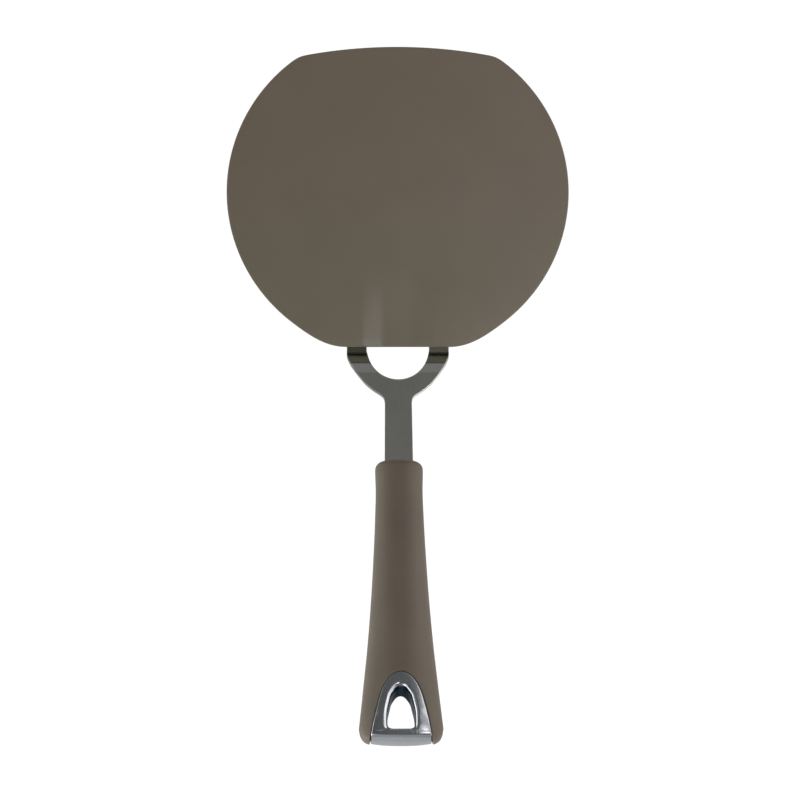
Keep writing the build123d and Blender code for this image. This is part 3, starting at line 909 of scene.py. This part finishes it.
# ---------------------------------------------------------------------------
# floor, light, camera
# ---------------------------------------------------------------------------
def disc(name, radius, z, material):
    bm = bmesh.new()
    bmesh.ops.create_circle(bm, cap_ends=True, segments=96, radius=radius)
    me = bpy.data.meshes.new(name)
    bm.to_mesh(me)
    bm.free()
    ob = bpy.data.objects.new(name, me)
    scene.collection.objects.link(ob)
    ob.location = (0, 0, z)
    me.materials.append(material)
    return ob


floor = disc("floor", 16.0, -0.0002, floor_material())
floor.visible_glossy = False
floor.visible_diffuse = False
floor.visible_shadow = False
under = disc("floor_tone", 1.2, -0.0004, tone_material())
under.location.y = -1.13
under.visible_camera = False
under.visible_shadow = False


LIGHT_AIM = Vector((0.0, -0.10, 0.03))
LIGHT_DIST = 1.3


def panel(name, azimuth, elevation, wide, high, radiance, color):
    """Flat soft light facing the object, sizes as angles seen from it, in degrees."""
    az, el = math.radians(azimuth), math.radians(elevation)
    d = Vector((math.cos(el) * math.cos(az), math.cos(el) * math.sin(az), math.sin(el)))
    ld = bpy.data.lights.new(name, "AREA")
    ld.shape = "RECTANGLE"
    ld.size = 2 * LIGHT_DIST * math.cos(el) * math.tan(math.radians(wide / 2))
    ld.size_y = 2 * LIGHT_DIST * math.tan(math.radians(high / 2))
    ld.energy = math.pi * ld.size * ld.size_y * radiance
    ld.color = color
    ob = bpy.data.objects.new(name, ld)
    scene.collection.objects.link(ob)
    ob.location = LIGHT_AIM + d * LIGHT_DIST
    ob.rotation_mode = "QUATERNION"
    ob.rotation_quaternion = (-d).to_track_quat("-Z", "Y")
    ob.visible_camera = False
    return ob


WARM, NEUTRAL, GREENISH = (1.0, 0.975, 0.97), (1.0, 1.0, 1.0), (0.980, 1.0, 0.975)
# a tall soft wall of light on the right, a low one from the left round to the rear
for name, az, el_, wide, high, radiance, tint in (
        ("right_low", 15, 7.5, 60, 15, 1.07, WARM),
        ("right_mid", 15, 22.5, 60, 15, 1.90, WARM),
        ("right_high", 0, 45, 30, 30, 1.70, WARM),
        ("right_front", 36, 52.5, 42, 15, 1.65, WARM),
        ("right_front_low", 22.5, 37.5, 15, 15, 2.90, WARM),
        ("right_front_mid", 43, 37.5, 26, 15, 1.72, WARM),
        ("right_far_front", 59.5, 37.5, 7, 15, 1.50, WARM),
        ("front_edge", 69, 37.5, 12, 15, 0.75, WARM),
        ("right_top", -20, 72, 34, 12, 5.90, WARM),
        ("right_front_top", 32, 67.5, 52, 15, 0.65, WARM),
        ("front_right", 55, 15, 20, 30, 0.60, WARM),
        ("front_left", 126, 15, 20, 30, 0.40, NEUTRAL),
        ("left_low", 180, 7.5, 30, 15, 3.87, GREENISH),
        ("left_mid", 165, 22.5, 60, 15, 1.45, GREENISH),
        ("left_rear_low", 210, 7.5, 30, 15, 6.49, NEUTRAL),
        ("left_rear_mid", 210, 22.5, 30, 15, 3.22, NEUTRAL),
        ("left_high", 195, 37.5, 60, 15, 0.61, NEUTRAL),
        ("rear_low", 236, 7.5, 22, 15, 3.6, NEUTRAL),
        ("rear_mid", 236, 22.5, 22, 15, 6.0, NEUTRAL),
        ("rear_high", 240, 37.5, 30, 15, 1.79, NEUTRAL),
        ("right_rear_low", 330, 7.5, 30, 15, 4.41, WARM),
        ("right_rear_mid", 315, 22.5, 60, 15, 0.86, WARM),
        ("left_top", 142, 52, 24, 14, 0.38, NEUTRAL),
        ("left_rear_high", 214, 54, 28, 16, 2.20, NEUTRAL)):
    panel(name, az, el_, wide, high, radiance, tint)

world = bpy.data.worlds.new("studio")
scene.world = world
world.use_nodes = True
wt = world.node_tree
wt.nodes.clear()
w_out = wt.nodes.new("ShaderNodeOutputWorld")
w_mix = wt.nodes.new("ShaderNodeMixShader")
w_lp = wt.nodes.new("ShaderNodeLightPath")
w_cam = wt.nodes.new("ShaderNodeBackground")
w_cam.inputs["Color"].default_value = (0.93, 0.93, 0.93, 1)
w_env = wt.nodes.new("ShaderNodeBackground")
w_tc = wt.nodes.new("ShaderNodeTexCoord")
w_sep = wt.nodes.new("ShaderNodeSeparateXYZ")
wt.links.new(w_tc.outputs["Generated"], w_sep.inputs["Vector"])


def sky(stops):
    """Grey tone of the surroundings over the sine of the elevation."""
    r = wt.nodes.new("ShaderNodeValToRGB")
    e = r.color_ramp.elements
    e[0].position, e[1].position = 0.0, 1.0
    e[0].color = (stops[0][1], stops[0][1], stops[0][1] * 0.96, 1)
    e[1].color = (stops[-1][1], stops[-1][1], stops[-1][1] * 0.93, 1)
    for pos, v in stops[1:-1]:
        k = e.new(pos)
        k.color = (v, v, v * 0.96, 1)
    wt.links.new(w_sep.outputs["Z"], r.inputs["Fac"])
    return r.outputs["Color"]


def span(socket, lo, hi):
    m = wt.nodes.new("ShaderNodeMapRange")
    m.inputs["From Min"].default_value = lo
    m.inputs["From Max"].default_value = hi
    wt.links.new(socket, m.inputs["Value"])
    return m.outputs["Result"]


w_abs = wt.nodes.new("ShaderNodeMath")
w_abs.operation = "ABSOLUTE"
wt.links.new(w_sep.outputs["X"], w_abs.inputs[0])
w_front = wt.nodes.new("ShaderNodeMath")
w_front.operation = "MULTIPLY"
wt.links.new(span(w_abs.outputs["Value"], 0.30, 0.15), w_front.inputs[0])
wt.links.new(span(w_sep.outputs["Y"], 0.05, 0.30), w_front.inputs[1])
w_pick = wt.nodes.new("ShaderNodeMix")
w_pick.data_type = "RGBA"
wt.links.new(w_front.outputs["Value"], w_pick.inputs["Factor"])
wt.links.new(sky([(0, 0.27), (0.30, 0.25), (0.56, 0.235), (0.62, 0.15), (0.68, 0.155), (0.71, 0.185), (0.76, 0.15),
                  (0.965, 0.15), (0.985, 0.16), (1, 0.17)]), w_pick.inputs[6])
wt.links.new(sky([(0, 0.07), (0.07, 0.07), (0.14, 0.25), (0.655, 0.24), (0.676, 0.24), (0.684, 0.10), (0.690, 0.12),
                  (0.698, 0.19), (0.706, 0.20), (0.74, 0.19), (0.93, 0.19), (0.955, 0.24), (0.985, 0.245),
                  (0.9965, 0.20), (1, 0.17)]),
             w_pick.inputs[7])
# a brighter wall straight behind the handle
w_back = wt.nodes.new("ShaderNodeMath")
w_back.operation = "MULTIPLY"
wt.links.new(span(w_abs.outputs["Value"], 0.35, 0.20), w_back.inputs[0])
wt.links.new(span(w_sep.outputs["Y"], -0.06, -0.22), w_back.inputs[1])
w_rear = wt.nodes.new("ShaderNodeMix")
w_rear.data_type = "RGBA"
wt.links.new(w_back.outputs["Value"], w_rear.inputs["Factor"])
wt.links.new(w_pick.outputs[2], w_rear.inputs[6])
wt.links.new(sky([(0, 0.60), (0.30, 0.60), (0.62, 0.44), (0.82, 0.26), (0.95, 0.18), (1, 0.17)]), w_rear.inputs[7])
wt.links.new(w_rear.outputs[2], w_env.inputs["Color"])
wt.links.new(w_lp.outputs["Is Camera Ray"], w_mix.inputs["Fac"])
wt.links.new(w_env.outputs["Background"], w_mix.inputs[1])
wt.links.new(w_cam.outputs["Background"], w_mix.inputs[2])
wt.links.new(w_mix.outputs["Shader"], w_out.inputs["Surface"])

scene.view_settings.view_transform = "Standard"
scene.view_settings.look = "None"
scene.view_settings.exposure = 0.0
scene.view_settings.gamma = 1.0

cam_data = bpy.data.cameras.new("camera")
cam = bpy.data.objects.new("camera", cam_data)
scene.collection.objects.link(cam)
cam_data.sensor_width = 36.0
cam_data.lens = 187.5
cam_data.clip_start, cam_data.clip_end = 0.05, 50.0
look_at = Vector((0.00108, -0.0998, 0.0))
cam.location = look_at + Vector((-0.040, 0.0, 2.0))
cam.rotation_euler = (0.0, math.atan2(-0.040, 2.0), 0.0)
scene.camera = cam
